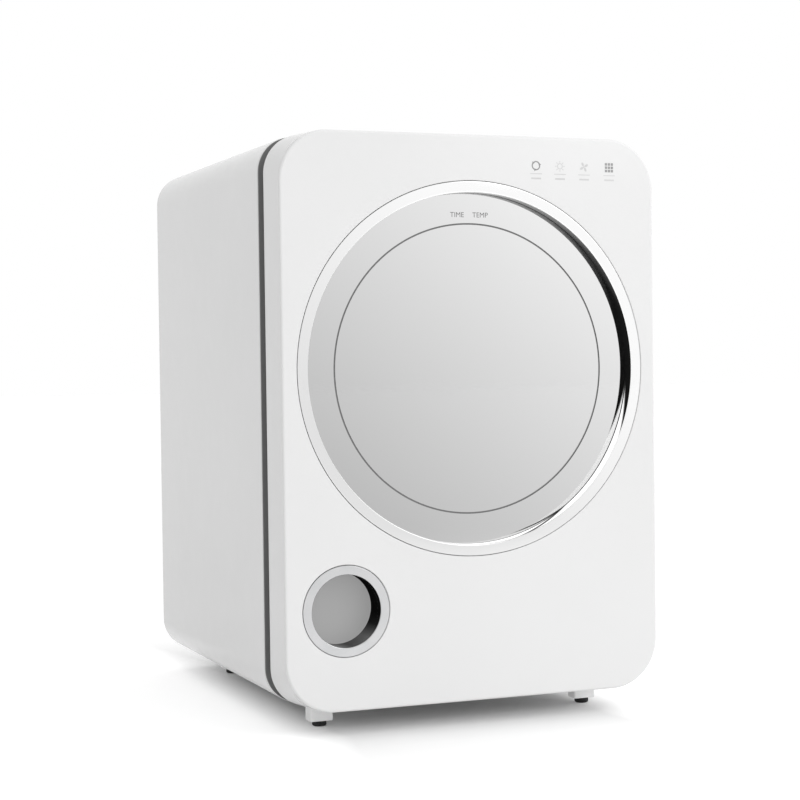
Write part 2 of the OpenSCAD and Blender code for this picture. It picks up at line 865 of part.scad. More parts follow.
module catch_plate(z) {
  color("#b4b7ba")
    block([catch_x - catch_w / 2, frame_y, z - catch_h / 2],
          [catch_x + catch_w / 2, frame_y + catch_t, z + catch_h / 2]);
}

// Door

// What is left off a door corner, whose radius shrinks from the face to the back edge
module door_corner(sx, sz) {
  slope = (corner_r - corner_back_r) / door_t;
  first_r = corner_r + slope * cut;
  last_r = corner_back_r - slope * cut;
  translate([sx * body_w / 2, front_y - cut, mid_z + sz * cabinet_h / 2])
    rotate([-90, 0, 0])
      linear_extrude(height = door_t + 2 * cut, scale = last_r / first_r)
        mirror([sx > 0 ? 1 : 0, 0])
          mirror([0, sz > 0 ? 0 : 1])
            difference() {
              translate([-cut, -cut]) square(first_r + cut);
              translate([first_r, first_r]) circle(first_r);
            }
}

module door_panel() {
  collar_in = 1;
  window_bore = ring_r + seat;
  handle_bore = handle_r + seat;
  color("#f4f4f3")
    difference() {
      union() {
        difference() {
          along_y(front_y, door_back_y, 0, mid_z) square([body_w, cabinet_h], center = true);
          for (sx = [-1, 1], sz = [-1, 1]) door_corner(sx, sz);
          along_y(front_y + door_wall, door_back_y + cut, 0, mid_z)
            rounded(body_w - 2 * door_wall, cabinet_h - 2 * door_wall, corner_r - door_wall);
        }
        bar_y(window_bore + door_wall, front_y + collar_in, mirror_back_y + lip_t, 0, window_z);
        bar_y(handle_bore + door_wall, front_y + collar_in, cup_seat_y + door_wall, -handle_x, handle_z);
      }
      bar_y(window_bore, front_y - cut, mirror_back_y, 0, window_z);
      bar_y(window_bore - lip_w, front_y, door_back_y, 0, window_z);
      bar_y(handle_bore, front_y - cut, cup_seat_y, -handle_x, handle_z);
      bar_y(handle_bore - cup_lip, front_y, door_back_y, -handle_x, handle_z);
    }
}

module door_liner() {
  edge = door_wall + seat;
  color("#ececeb")
    difference() {
      along_y(liner_front_y, door_back_y, 0, mid_z)
        rounded(body_w - 2 * edge, cabinet_h - 2 * edge, corner_r - edge);
      bar_y(pane_r - pane_lap, liner_front_y - cut, door_back_y + cut, 0, window_z);
    }
}

module door_pane() {
  color("#c9d2d6")
    bar_y(pane_r, liner_front_y - pane_t, liner_front_y, 0, window_z);
}

module door_reflector() {
  reflector_in = 2;
  color("#cfd2d4")
    difference() {
      along_y(door_back_y, door_back_y + reflector_t, 0, chamber_mid_z)
        rounded(chamber_w - 2 * reflector_in, chamber_h - 2 * reflector_in, chamber_r - reflector_in);
      bar_y(pane_r - pane_lap, door_back_y - cut, door_back_y + reflector_t + cut, 0, window_z);
    }
}

module door_seal() {
  color("#3a3b3d")
    along_y(door_back_y, door_back_y + seal_t, 0, chamber_mid_z)
      difference() {
        rounded(seal_in_w + 2 * seal_w, seal_in_h + 2 * seal_w, seal_r + seal_w);
        rounded(seal_in_w, seal_in_h, seal_r);
      }
}

module window_ring() {
  color("#dfe1e3") ring_y(ring_r, ring_r - ring_face, front_y, mirror_y, 0, window_z);
}

module window_mirror() {
  line_depth = 0.4;
  color("#d2d4d6")
    difference() {
      bar_y(ring_r, mirror_y, mirror_back_y, 0, window_z);
      ring_y(line_r + line_w / 2, line_r - line_w / 2, mirror_y - cut, mirror_y + line_depth, 0, window_z);
    }
}

module handle_ring() {
  color("#dfe1e3") ring_y(handle_r, handle_r - handle_face, front_y, cup_y, -handle_x, handle_z);
}

module handle_cup() {
  cup_r = handle_r - cup_lip;
  color("#a3a5a7")
    difference() {
      union() {
        bar_y(handle_r, cup_y, cup_seat_y, -handle_x, handle_z);
        bar_y(cup_r, cup_y, cup_floor_y + cup_floor_t, -handle_x, handle_z);
      }
      bar_y(handle_r - handle_face, cup_y - cut, cup_floor_y, -handle_x, handle_z);
    }
}

// Touch keys behind the upper right of the door's face
module touch_board() {
  board_w = 80;
  board_h = 22;
  board_side = 26;
  board_top = 12;
  x0 = body_w / 2 - board_side - board_w;
  z1 = top_z - board_top;
  y0 = front_y + door_wall;
  color("#2f6b4a")
    block([x0, y0, z1 - board_h], [x0 + board_w, y0 + pcb_t, z1]);
}

// Readout behind the upper part of the mirror
module display_board() {
  board_w = 44;
  board_h = 20;
  board_drop = 6;
  z1 = window_z + ring_r - lip_w - board_drop;
  color("#2f6b4a")
    block([-board_w / 2, mirror_back_y, z1 - board_h], [board_w / 2, mirror_back_y + pcb_t, z1]);
}

module magnet(z) {
  color("#77797c")
    block([catch_x - catch_w / 2, door_back_y, z - catch_h / 2],
          [catch_x + catch_w / 2, door_back_y + magnet_t, z + catch_h / 2]);
}

outer_shell();
front_frame();
rear_cover();
chamber_liner();
chamber_back();
rail(-1);  // rail_left
rail(1);  // rail_right
lamp_tube(upper_lamp_y, upper_lamp_z);  // upper_lamp_tube
lamp_socket(-1, upper_lamp_y, upper_lamp_z);  // upper_lamp_socket_left
lamp_socket(1, upper_lamp_y, upper_lamp_z);  // upper_lamp_socket_right
lamp_tube(rear_lamp_y, rear_lamp_z);  // rear_lamp_tube
lamp_socket(-1, rear_lamp_y, rear_lamp_z);  // rear_lamp_socket_left
lamp_socket(1, rear_lamp_y, rear_lamp_z);  // rear_lamp_socket_right
fan_guard();
fan_housing();
fan_motor();
heater_ring();
fan_impeller();
power_board();
lamp_ballast();
power_inlet();
filter_cover();
air_filter();
rear_screw(-1, 1);  // rear_screw_upper_left
rear_screw(1, 1);  // rear_screw_upper_right
rear_screw(-1, -1);  // rear_screw_lower_left
rear_screw(1, -1);  // rear_screw_lower_right
foot(-foot_x, foot_front_y);  // foot_front_left
foot(foot_x, foot_front_y);  // foot_front_right
foot(-rear_foot_x, foot_rear_y);  // foot_rear_left
foot(rear_foot_x, foot_rear_y);  // foot_rear_right
pad(-foot_x, foot_front_y);  // pad_front_left
pad(foot_x, foot_front_y);  // pad_front_right
pad(-rear_foot_x, foot_rear_y);  // pad_rear_left
pad(rear_foot_x, foot_rear_y);  // pad_rear_right
body_leaf(hinge_upper_z);  // body_leaf_upper
body_leaf(hinge_lower_z);  // body_leaf_lower
hinge_pin(hinge_upper_z);  // hinge_pin_upper
hinge_pin(hinge_lower_z);  // hinge_pin_lower
catch_plate(hinge_upper_z);  // catch_plate_upper
catch_plate(hinge_lower_z);  // catch_plate_lower
door_panel();
door_liner();
door_reflector();
door_pane();
door_seal();
window_ring();
window_mirror();
handle_ring();
handle_cup();
touch_board();
display_board();
magnet(hinge_upper_z);  // magnet_upper
magnet(hinge_lower_z);  // magnet_lower
door_leaf(hinge_upper_z);  // door_leaf_upper
door_leaf(hinge_lower_z);  // door_leaf_lower
rack(chamber_z + upper_rack_z);  // upper_rack
rack(chamber_z + lower_rack_z);  // lower_rack
drip_tray();
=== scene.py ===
import json
import math
import bpy
import bmesh
from mathutils import Matrix, Vector


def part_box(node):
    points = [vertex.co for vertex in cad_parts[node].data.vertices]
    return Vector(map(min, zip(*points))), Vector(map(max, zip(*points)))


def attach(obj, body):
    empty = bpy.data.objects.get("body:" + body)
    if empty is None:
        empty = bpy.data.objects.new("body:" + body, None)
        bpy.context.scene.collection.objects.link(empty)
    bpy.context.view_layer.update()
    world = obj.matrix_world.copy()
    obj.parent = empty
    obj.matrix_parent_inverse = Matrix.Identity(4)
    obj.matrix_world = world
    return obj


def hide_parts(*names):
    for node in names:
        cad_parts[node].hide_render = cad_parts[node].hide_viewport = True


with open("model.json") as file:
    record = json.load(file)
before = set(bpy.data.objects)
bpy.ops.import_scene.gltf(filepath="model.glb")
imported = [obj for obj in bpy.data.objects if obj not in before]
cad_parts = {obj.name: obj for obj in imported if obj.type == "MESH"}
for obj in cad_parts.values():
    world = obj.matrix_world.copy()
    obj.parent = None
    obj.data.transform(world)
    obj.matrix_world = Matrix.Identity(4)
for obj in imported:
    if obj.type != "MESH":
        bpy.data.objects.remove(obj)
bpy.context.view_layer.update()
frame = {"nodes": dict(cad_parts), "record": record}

nodes = frame["nodes"]
slotOf = {part["node"]: part["material_slot"] for part in frame["record"]["subparts"]}
bodyOf = {node: body for body, members in frame["record"]["behaviour"]["bodies"].items() for node in members}
mm = 0.001
near = 0.01 * mm  # places closer than this are the same

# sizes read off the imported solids
doorLow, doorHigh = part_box("door_panel")
shellLow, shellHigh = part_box("outer_shell")
ringLow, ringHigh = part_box("window_ring")
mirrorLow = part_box("window_mirror")[0]
pullLow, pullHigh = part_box("handle_ring")
cupLow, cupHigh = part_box("handle_cup")
ringMiddle = (ringLow + ringHigh) / 2
pullMiddle = (pullLow + pullHigh) / 2
ringRadius = (ringHigh.x - ringLow.x) / 2
pullRadius = (pullHigh.x - pullLow.x) / 2
faceY = doorLow.y

print("frame loaded:", len(nodes), "nodes")


# camera at the photograph's viewing angle
viewpoint = {
    "place": (-0.5521, -1.4177, 0.2700),
    "yaw": 21.595,  # degrees to the right of straight ahead
    "pitch": 1.2154,  # degrees down
    "roll": -0.7623,
    "focalPixels": 1842.1,
    "imagePixels": 800,
    "sensor": 36.0,
}


def placeCamera(v):
    yaw, pitch, roll = (math.radians(v[k]) for k in ("yaw", "pitch", "roll"))
    ahead = Vector((math.sin(yaw) * math.cos(pitch), math.cos(yaw) * math.cos(pitch), -math.sin(pitch)))
    right = Vector((math.cos(yaw), -math.sin(yaw), 0.0))
    up = right.cross(ahead)
    right, up = (math.cos(roll) * right + math.sin(roll) * up, math.cos(roll) * up - math.sin(roll) * right)
    data = bpy.data.cameras.new("photoCamera")
    data.sensor_width = v["sensor"]
    data.lens = v["focalPixels"] / v["imagePixels"] * v["sensor"]
    data.clip_start = 0.05
    camera = bpy.data.objects.new("photoCamera", data)
    bpy.context.scene.collection.objects.link(camera)
    turn = Matrix((right, up, -ahead)).transposed().to_4x4()
    camera.matrix_world = Matrix.Translation(v["place"]) @ turn
    bpy.context.scene.camera = camera


placeCamera(viewpoint)
bpy.context.scene.view_settings.view_transform = "Standard"
print("camera placed")


# small modelling helpers

def clearSelection():
    if bpy.context.object and bpy.context.object.mode != "OBJECT":
        bpy.ops.object.mode_set(mode="OBJECT")
    bpy.ops.object.select_all(action="DESELECT")


def makeActive(obj):
    clearSelection()
    obj.select_set(True)
    bpy.context.view_layer.objects.active = obj


def settle(obj):  # puts place, turn and size into the mesh
    makeActive(obj)
    bpy.ops.object.transform_apply(location=True, rotation=True, scale=True)
    return obj


def editWhere(obj, kind, test):  # opens the mesh with only what passes the test selected
    makeActive(obj)
    bpy.ops.object.mode_set(mode="EDIT")
    bpy.ops.mesh.select_mode(type=kind)
    bpy.ops.mesh.select_all(action="DESELECT")
    mesh = bmesh.from_edit_mesh(obj.data)
    items = {"VERT": mesh.verts, "EDGE": mesh.edges, "FACE": mesh.faces}[kind]
    for item in items:
        if test(item):
            item.select_set(True)
    mesh.select_flush_mode()
    bmesh.update_edit_mesh(obj.data)


def closeEdit():
    bpy.ops.object.mode_set(mode="OBJECT")


def addBox(low, high):
    clearSelection()
    bpy.ops.mesh.primitive_cube_add(size=1, location=(Vector(low) + Vector(high)) / 2)
    obj = bpy.context.object
    obj.scale = Vector(high) - Vector(low)
    return settle(obj)


def addDrum(radius, y0, y1, middle, sides=160):  # a round bar along Y
    clearSelection()
    bpy.ops.mesh.primitive_cylinder_add(
        vertices=sides, radius=radius, depth=y1 - y0, end_fill_type="NGON",
        location=(middle.x, (y0 + y1) / 2, middle.z), rotation=(math.radians(90), 0, 0))
    return settle(bpy.context.object)


def cutAway(obj, cutter):
    makeActive(obj)
    tool = obj.modifiers.new("cut", "BOOLEAN")
    tool.operation = "DIFFERENCE"
    tool.solver = "EXACT"
    tool.object = cutter
    bpy.ops.object.modifier_apply(modifier=tool.name)
    bpy.data.objects.remove(cutter)


def roundEdges(obj, test, width, steps):
    editWhere(obj, "EDGE", test)
    bpy.ops.mesh.bevel(offset=width, offset_type="OFFSET", segments=steps, profile=0.5, affect="EDGES")
    closeEdit()


def isLong(edge):  # runs along Y
    a, b = (v.co for v in edge.verts)
    return abs(a.x - b.x) < near and abs(a.z - b.z) < near


def liesAt(edge, y):
    return all(abs(v.co.y - y) < near for v in edge.verts)


def onCircle(edge, radius, middle):
    spread = 0.05 * mm
    return all(abs(math.hypot(v.co.x - middle.x, v.co.z - middle.z) - radius) < spread for v in edge.verts)


def smoothOut(obj, angle=35):
    makeActive(obj)
    bpy.ops.object.shade_smooth_by_angle(angle=math.radians(angle))
    even = obj.modifiers.new("evenNormals", "WEIGHTED_NORMAL")
    even.keep_sharp = True
    bpy.ops.object.modifier_apply(modifier=even.name)


def paintWhere(obj, index, test):  # gives the faces that pass the test another of the piece's finishes
    for face in obj.data.polygons:
        if test(face):
            face.material_index = index


def dress(obj, name, node, *finishList):  # names the piece, paints it and lets it stand for a CAD node
    obj.name = name
    obj.data.name = name
    obj.data.materials.clear()
    for finish in finishList:
        obj.data.materials.append(finish)
    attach(obj, bodyOf[node])
    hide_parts(node)
    return obj


def trim(obj, name, body, slot, *finishList):  # a piece that no CAD node stands behind
    obj.name = name
    obj.data.name = name
    obj.data.materials.clear()
    for finish in finishList:
        obj.data.materials.append(finish)
    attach(obj, body)
    return obj


# shader helpers

def newFinish(name, **sockets):
    material = bpy.data.materials.new(name)
    material.use_nodes = True
    shader = material.node_tree.nodes["Principled BSDF"]
    for socket, value in sockets.items():
        shader.inputs[socket.replace("_", " ")].default_value = value
    return material, material.node_tree, shader


def grey(level):  # linear grey from a display value of 0 to 255
    share = level / 255
    linear = share / 12.92 if share <= 0.04045 else ((share + 0.055) / 1.055) ** 2.4
    return (linear, linear, linear, 1)


def tint(red, green, blue):
    return (grey(red)[0], grey(green)[0], grey(blue)[0], 1)


def objectCoords(tree, stretch=(1, 1, 1)):
    coords = tree.nodes.new("ShaderNodeTexCoord")
    mapping = tree.nodes.new("ShaderNodeMapping")
    mapping.inputs["Scale"].default_value = stretch
    tree.links.new(coords.outputs["Object"], mapping.inputs["Vector"])
    return mapping.outputs["Vector"]


def noiseOn(tree, coords, scale, detail=3.0):
    noise = tree.nodes.new("ShaderNodeTexNoise")
    noise.inputs["Scale"].default_value = scale
    noise.inputs["Detail"].default_value = detail
    tree.links.new(coords, noise.inputs["Vector"])
    return noise.outputs["Fac"]


def spanTo(tree, value, low, high, fromLow=0.3, fromHigh=0.7):
    span = tree.nodes.new("ShaderNodeMapRange")
    span.inputs["From Min"].default_value = fromLow
    span.inputs["From Max"].default_value = fromHigh
    span.inputs["To Min"].default_value = low
    span.inputs["To Max"].default_value = high
    tree.links.new(value, span.inputs["Value"])
    return span.outputs["Result"]


def rampTo(tree, value, *stops):
    ramp = tree.nodes.new("ShaderNodeValToRGB")
    elements = ramp.color_ramp.elements
    while len(elements) < len(stops):
        elements.new(0.5)
    for element, (place, colour) in zip(elements, stops):
        element.position = place
        element.color = colour
    tree.links.new(value, ramp.inputs["Fac"])
    return ramp.outputs["Color"]


def bumpBy(tree, shader, height, strength, depth):
    bump = tree.nodes.new("ShaderNodeBump")
    bump.inputs["Strength"].default_value = strength
    bump.inputs["Distance"].default_value = depth
    tree.links.new(height, bump.inputs["Height"])
    tree.links.new(bump.outputs["Normal"], shader.inputs["Normal"])


def mathOn(tree, operation, first, second):
    node = tree.nodes.new("ShaderNodeMath")
    node.operation = operation
    for socket, value in zip(node.inputs, (first, second)):
        if isinstance(value, (int, float)):
            socket.default_value = value
        else:
            tree.links.new(value, socket)
    return node.outputs["Value"]


def leanAcross(tree, coords, lean, reach):  # 0 to 1 along a diagonal through the window's middle
    offset = tree.nodes.new("ShaderNodeVectorMath")
    offset.operation = "SUBTRACT"
    offset.inputs[1].default_value = (ringMiddle.x, mirrorLow.y, ringMiddle.z)
    tree.links.new(coords, offset.inputs[0])
    slope = tree.nodes.new("ShaderNodeVectorMath")
    slope.operation = "DOT_PRODUCT"
    slope.inputs[1].default_value = lean
    tree.links.new(offset.outputs["Vector"], slope.inputs[0])
    return offset.outputs["Vector"], spanTo(tree, slope.outputs["Value"], 0.0, 1.0, -reach, reach)


# paints reflection and shade by angle round a ring: tones are pairs of degrees, from +X up towards +Z, and a
# display value; the slant is in radians a metre
def toneByAngle(tree, middle, tones, slant=0.0):
    split = tree.nodes.new("ShaderNodeSeparateXYZ")
    tree.links.new(objectCoords(tree), split.inputs["Vector"])
    across = mathOn(tree, "SUBTRACT", split.outputs["X"], middle.x)
    rise = mathOn(tree, "SUBTRACT", split.outputs["Z"], middle.z)
    ahead = mathOn(tree, "SUBTRACT", mirrorLow.y, split.outputs["Y"])
    turn = mathOn(tree, "ADD", mathOn(tree, "ARCTAN2", rise, across), mathOn(tree, "MULTIPLY", ahead, slant))
    share = spanTo(tree, turn, 0.0, 1.0, -math.pi, math.pi)
    colour = rampTo(tree, share, *[((degrees + 180) / 360, grey(tone)) for degrees, tone in tones])
    return colour, split.outputs["Y"]


# finishes, one function each

whiteGlossLook = {"low": 231, "high": 233, "roughLow": 0.16, "roughHigh": 0.22, "peel": 900}


def makeWhiteGloss(look):  # moulded white with a hint of orange peel
    material, tree, shader = newFinish("whiteGloss", IOR=1.5)
    coords = objectCoords(tree)
    cloud = noiseOn(tree, coords, 7)
    tree.links.new(rampTo(tree, cloud, (0.35, grey(look["low"])), (0.65, grey(look["high"]))),
                   shader.inputs["Base Color"])
    tree.links.new(spanTo(tree, noiseOn(tree, coords, 60), look["roughLow"], look["roughHigh"]),
                   shader.inputs["Roughness"])
    bumpBy(tree, shader, noiseOn(tree, coords, look["peel"], 1.0), 0.02, 0.1 * mm)
    return material


darkBandLook = {"nearDoor": 98, "nearBody": 124, "grain": 1800}


def makeDarkBand(look):  # satin dark frame, with painted shade that darkens it towards the door
    material, tree, shader = newFinish("darkBand", IOR=1.46, Specular_IOR_Level=0.2)
    coords = objectCoords(tree)
    split = tree.nodes.new("ShaderNodeSeparateXYZ")
    tree.links.new(coords, split.inputs["Vector"])
    depth = spanTo(tree, split.outputs["Y"], 0.0, 1.0, doorHigh.y, shellLow.y)
    # painted shade: the frame's grey is ramped darker towards the door, where the gap lies in shadow
    tree.links.new(rampTo(tree, depth, (0.1, grey(look["nearDoor"])), (0.9, grey(look["nearBody"]))),
                   shader.inputs["Base Color"])
    tree.links.new(spanTo(tree, noiseOn(tree, coords, 90), 0.38, 0.5), shader.inputs["Roughness"])
    bumpBy(tree, shader, noiseOn(tree, coords, look["grain"], 2.0), 0.08, 0.1 * mm)
    return material


steelLook = {"dark": 196, "pale": 214, "roughLow": 0.24, "roughHigh": 0.38, "along": 9, "across": 1500}


def makeBrushedSteel(name, look):  # fine level brush lines
    material, tree, shader = newFinish(name, Metallic=1.0)
    lines = noiseOn(tree, objectCoords(tree, (look["along"], look["along"], look["across"])), 1.0, 2.0)
    tree.links.new(rampTo(tree, lines, (0.38, grey(look["dark"])), (0.62, grey(look["pale"]))),
                   shader.inputs["Base Color"])
    tree.links.new(spanTo(tree, lines, look["roughLow"], look["roughHigh"], 0.38, 0.62),
                   shader.inputs["Roughness"])
    bumpBy(tree, shader, lines, 0.05, 0.1 * mm)
    return material


def makeMetal(name, dark, pale, roughLow, roughHigh, patch):  # plated, polished or oxidised metal
    material, tree, shader = newFinish(name, Metallic=1.0)
    coords = objectCoords(tree)
    cloud = noiseOn(tree, coords, patch)
    tree.links.new(rampTo(tree, cloud, (0.35, dark), (0.65, pale)), shader.inputs["Base Color"])
    tree.links.new(spanTo(tree, noiseOn(tree, coords, 4 * patch), roughLow, roughHigh),
                   shader.inputs["Roughness"])
    return material


def makePlastic(name, dark, pale, roughLow, roughHigh, grain, depth):  # grained plastic or rubber
    material, tree, shader = newFinish(name, IOR=1.48)
    coords = objectCoords(tree)
    tree.links.new(rampTo(tree, noiseOn(tree, coords, 40), (0.35, dark), (0.65, pale)),
                   shader.inputs["Base Color"])
    tree.links.new(spanTo(tree, noiseOn(tree, coords, 150), roughLow, roughHigh), shader.inputs["Roughness"])
    bumpBy(tree, shader, noiseOn(tree, coords, grain, 2.0), 0.25, depth)
    return material


mirrorLook = {
    "low": 185, "middle": 214, "high": 239,  # painted reflection tones: lower left, middle, upper right
    "lean": (0.62, 0.0, 0.78),
    "reach": 0.135,  # metres from the middle to either end of the gradient
    "lineRadius": 107.2 * mm, "lineHalf": 0.6 * mm, "lineTone": 120,
}


def makeHalfMirror(look):  # silvered glass with a painted reflection gradient, darker at the lower left, and one fine dark circle
    material, tree, shader = newFinish("halfMirror", Metallic=1.0)
    coords = tree.nodes.new("ShaderNodeTexCoord").outputs["Object"]
    offset, share = leanAcross(tree, coords, look["lean"], look["reach"])
    tones = [grey(look[place]) for place in ("low", "middle", "high")]
    # painted reflection: the silver's tone ramps from the lower left to the upper right
    paintedReflection = rampTo(tree, share, *zip((0.0, 0.5, 1.0), tones))
    flat = tree.nodes.new("ShaderNodeVectorMath")
    flat.operation = "MULTIPLY"
    flat.inputs[1].default_value = (1, 0, 1)
    tree.links.new(offset, flat.inputs[0])
    radius = tree.nodes.new("ShaderNodeVectorMath")
    radius.operation = "LENGTH"
    tree.links.new(flat.outputs["Vector"], radius.inputs[0])
    offLine = mathOn(tree, "SUBTRACT", radius.outputs["Value"], look["lineRadius"])
    away = mathOn(tree, "ABSOLUTE", offLine, 0.0)
    line = mathOn(tree, "LESS_THAN", away, look["lineHalf"] + near)
    paint = tree.nodes.new("ShaderNodeMix")
    paint.data_type = "RGBA"
    tree.links.new(line, paint.inputs[0])
    tree.links.new(paintedReflection, paint.inputs[6])
    paint.inputs[7].default_value = grey(look["lineTone"])
    tree.links.new(paint.outputs[2], shader.inputs["Base Color"])
    haze = noiseOn(tree, coords, 25)
    tree.links.new(spanTo(tree, haze, 0.02, 0.05), shader.inputs["Roughness"])
    return material


ringLook = {"low": 224, "high": 250}


def makeRingChrome(look):  # bright plating with a painted reflection gradient, darker towards its lower left
    material, tree, shader = newFinish("brightChrome", Metallic=1.0)
    coords = objectCoords(tree)
    share = leanAcross(tree, coords, mirrorLook["lean"], mirrorLook["reach"])[1]
    tree.links.new(rampTo(tree, share, (0.1, grey(look["low"])), (0.8, grey(look["high"]))),
                   shader.inputs["Base Color"])
    tree.links.new(spanTo(tree, noiseOn(tree, coords, 60), 0.03, 0.06), shader.inputs["Roughness"])
    return material


ringWallLook = {
    # painted reflection: a dark studio edge is painted down the right of the inner wall, with a short one at
    # the lower right
    "tones": (
        (-180, 252), (-60, 252), (-57, 60), (-53, 60), (-51, 252),
        (-9, 252), (-5, 18), (30, 22), (50, 62), (70, 118), (84, 140), (108, 200), (130, 236), (180, 252),
    ),
    # the foot line is painted shade where the wall meets the mirror; the glow is painted light
    "slant": 34, "footLine": 0.8 * mm, "footTone": 36, "glow": 0.5,
}


def makeRingWall(look):  # the ring's inner wall with a painted dark reflection edge, a painted shade line along its foot, and painted glow
    material, tree, shader = newFinish("ringWall", Roughness=0.3, Specular_IOR_Level=0.0)
    edge, depth = toneByAngle(tree, ringMiddle, look["tones"], look["slant"])
    foot = mathOn(tree, "GREATER_THAN", depth, mirrorLow.y - look["footLine"])
    paint = tree.nodes.new("ShaderNodeMix")
    paint.data_type = "RGBA"
    paint.blend_type = "DARKEN"
    tree.links.new(foot, paint.inputs[0])
    tree.links.new(edge, paint.inputs[6])
    paint.inputs[7].default_value = grey(look["footTone"])
    tree.links.new(paint.outputs[2], shader.inputs["Base Color"])
    # painted light: the wall glows with its own painted tones
    tree.links.new(paint.outputs[2], shader.inputs["Emission Color"])
    shader.inputs["Emission Strength"].default_value = look["glow"]
    return material


def addPaintedLight(shader, strength):  # painted light: a little glow of its own, for a piece that sits in shadow
    shader.inputs["Emission Color"].default_value = (1, 1, 1, 1)
    shader.inputs["Emission Strength"].default_value = strength


cupFloorLook = {"tone": 118, "glow": 0.23, "grain": 1600}


def makeCupFloor(look):  # grey recess with painted light: it glows a little so that its floor reads evenly
    material, tree, shader = newFinish("cupGrey", IOR=1.48, Roughness=0.46)
    shader.inputs["Base Color"].default_value = grey(look["tone"])
    bumpBy(tree, shader, noiseOn(tree, objectCoords(tree), look["grain"], 2.0), 0.25, 0.03 * mm)
    # painted light: the floor glows to lift it out of the recess's shade
    addPaintedLight(shader, look["glow"])
    return material


cupWallLook = {
    # painted reflection tones by angle round the finger pull
    "tones": (
        (-180, 170), (-110, 150), (-80, 90), (-50, 120), (-26, 40),
        (-8, 20), (84, 20), (110, 120), (180, 170),
    ),
}


def makeCupWall(look):  # polished wall with painted reflection, black on the right and grey below
    material, tree, shader = newFinish("cupWall", Roughness=0.3, Specular_IOR_Level=0.0)
    colour = toneByAngle(tree, pullMiddle, look["tones"])[0]
    tree.links.new(colour, shader.inputs["Base Color"])
    return material


def makeGlass(name, colour, rough):  # clear glass with faint waviness
    material, tree, shader = newFinish(
        name, Transmission_Weight=1.0, IOR=1.46, Base_Color=colour, Roughness=rough)
    bumpBy(tree, shader, noiseOn(tree, objectCoords(tree), 30, 1.0), 0.02, 0.1 * mm)
    return material


boardLook = {"mask": tint(26, 92, 58), "trace": tint(58, 128, 88), "pitch": 260}


def makeBoard(look):  # green solder mask with paler tracks
    material, tree, shader = newFinish("boardGreen", IOR=1.5, Roughness=0.35)
    tracks = tree.nodes.new("ShaderNodeTexBrick")
    tracks.inputs["Scale"].default_value = look["pitch"]
    tracks.inputs["Color1"].default_value = look["mask"]
    tracks.inputs["Color2"].default_value = look["mask"]
    tracks.inputs["Mortar"].default_value = look["trace"]
    tree.links.new(objectCoords(tree), tracks.inputs["Vector"])
    tree.links.new(tracks.outputs["Color"], shader.inputs["Base Color"])
    return material


def makeFoam(cellScale):  # open cells of the air filter
    material, tree, shader = newFinish("filterFoam", Roughness=0.9)
    cells = tree.nodes.new("ShaderNodeTexVoronoi")
    cells.inputs["Scale"].default_value = cellScale
    tree.links.new(objectCoords(tree), cells.inputs["Vector"])
    tree.links.new(rampTo(tree, cells.outputs["Distance"], (0.1, grey(60)), (0.6, grey(158))),
                   shader.inputs["Base Color"])
    bumpBy(tree, shader, cells.outputs["Distance"], 0.8, 0.6 * mm)
    return material


chrome = makeRingChrome(ringLook)
pullChrome = makeMetal("pullChrome", tint(198, 199, 200), tint(205, 205, 206), 0.05, 0.09, 60)
whiteGloss = makeWhiteGloss(whiteGlossLook)
footGrey = makePlastic("footGrey", grey(240), grey(246), 0.4, 0.52, 1500, 0.05 * mm)
# painted light: the feet glow a little to lift them out of the door's shadow
addPaintedLight(footGrey.node_tree.nodes["Principled BSDF"], 0.14)
cupGrey = makeCupFloor(cupFloorLook)
cupWall = makeCupWall(cupWallLook)
plated = makeMetal("platedSteel", grey(188), grey(196), 0.24, 0.3, 40)
endCap = makeMetal("lampCap", grey(186), grey(206), 0.2, 0.3, 150)
printDark = makePlastic("printDark", grey(150), grey(160), 0.5, 0.6, 900, 0.01 * mm)
printPale = makePlastic("printPale", grey(205), grey(212), 0.5, 0.6, 900, 0.01 * mm)
letterGrey = makePlastic("letterGrey", grey(112), grey(122), 0.5, 0.6, 900, 0.01 * mm)
finishOf = {
    "white_shell": whiteGloss,
    "dark_frame": makeDarkBand(darkBandLook),
    "sheet_steel": makeBrushedSteel("brushedSteel", steelLook),
    "wire_steel": makeMetal("rackWire", grey(200), grey(222), 0.14, 0.24, 90),
    "lamp_glass": makeGlass("tubeGlass", tint(240, 247, 252), 0.02),
    "white_socket": makePlastic("socketWhite", grey(228), grey(236), 0.45, 0.6, 1200, 0.04 * mm),
    "fan_plastic": makePlastic("fanBlack", grey(44), grey(54), 0.42, 0.58, 1400, 0.05 * mm),
    "motor_metal": makeMetal("motorCan", grey(150), grey(176), 0.3, 0.45, 80),
    "heater_metal": makeMetal("heaterSheath", tint(132, 120, 112), tint(168, 160, 154), 0.35, 0.55, 45),
    "board_green": makeBoard(boardLook),
    "filter_foam": makeFoam(420),
    "screw_steel": plated,
    "foot_grey": footGrey,
    "pad_rubber": makePlastic("padRubber", grey(22), grey(32), 0.62, 0.78, 1300, 0.06 * mm),
    "hinge_steel": plated,
    "pane_glass": makeGlass("paneGlass", tint(236, 242, 244), 0.0),
    "seal_rubber": makePlastic("sealRubber", grey(62), grey(74), 0.55, 0.7, 1300, 0.05 * mm),
    "bright_trim": chrome,
    "half_mirror": makeHalfMirror(mirrorLook),
    "cup_grey": cupGrey,
    "magnet_iron": makeMetal("magnetIron", grey(110), grey(132), 0.4, 0.55, 120),
}
for node, obj in nodes.items():
    obj.data.materials.clear()
    obj.data.materials.append(finishOf[slotOf[node]])
print("finishes made:", len(bpy.data.materials))


